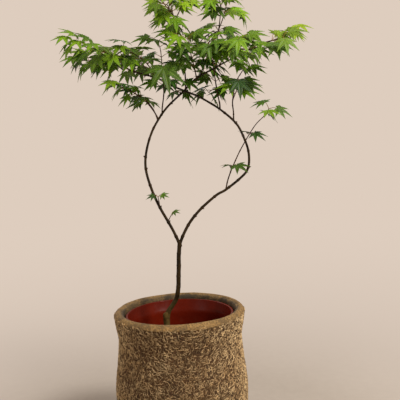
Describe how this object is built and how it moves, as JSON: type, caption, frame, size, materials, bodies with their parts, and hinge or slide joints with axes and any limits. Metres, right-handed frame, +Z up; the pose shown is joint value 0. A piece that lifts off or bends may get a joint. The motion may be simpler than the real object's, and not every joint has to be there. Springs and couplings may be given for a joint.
{
  "type": "potted bonsai maple tree",
  "caption": "Young Japanese maple trained as a bonsai, its stems bent into a heart-shaped loop under a leafy crown, in a grow pot inside a tall rough round planter.",
  "frame": {"origin": "centre of the planter's flat foot, on the surface that it stands on", "axes": "+Z up along the planter's axis; +X to the viewer's right along the crown's widest spread; -Y towards the viewer"},
  "size_m": [0.5152, 0.2645, 1.0178],
  "materials": {
    "rough_clay": "rough unglazed clay with coarse raised fibres",
    "oxblood_plastic": "glossy moulded plastic",
    "potting_soil": "loose moist potting mix",
    "maple_bark": "smooth young bark with node rings",
    "maple_leaf": "thin living leaf, satin above and matt below"
  },
  "bodies": {
    "root": {"planter": "rough_clay", "liner": "oxblood_plastic", "soil": "potting_soil", "trunk": "maple_bark", "left_stem": "maple_bark", "right_stem": "maple_bark", "centre_riser": "maple_leaf", "crown_left_back": "maple_leaf", "crown_left_front": "maple_leaf", "crown_left_right": "maple_leaf", "crown_left_side": "maple_leaf", "crown_left_top": "maple_leaf", "crown_right_back": "maple_leaf", "crown_right_front": "maple_leaf", "crown_right_side": "maple_leaf", "crown_right_top": "maple_leaf", "dark_spray": "maple_leaf", "dark_spray_front": "maple_leaf", "front_leaf": "maple_leaf", "green_hanging": "maple_leaf", "green_twig": "maple_leaf", "heart_back": "maple_leaf", "heart_front": "maple_leaf", "left_limb_back": "maple_leaf", "left_limb_front": "maple_leaf", "left_limb_low": "maple_leaf", "left_limb_mid": "maple_leaf", "left_limb_tip": "maple_leaf", "left_riser": "maple_leaf", "left_spray": "maple_leaf", "left_spray_back": "maple_leaf", "right_limb": "maple_leaf", "right_limb_back": "maple_leaf", "right_limb_front": "maple_leaf", "right_limb_low": "maple_leaf", "right_riser": "maple_leaf", "riser_front": "maple_leaf", "riser_low": "maple_leaf", "side_riser": "maple_leaf", "sprout_low": "maple_leaf", "sprout_mid": "maple_leaf"}
  },
  "joints": []
}
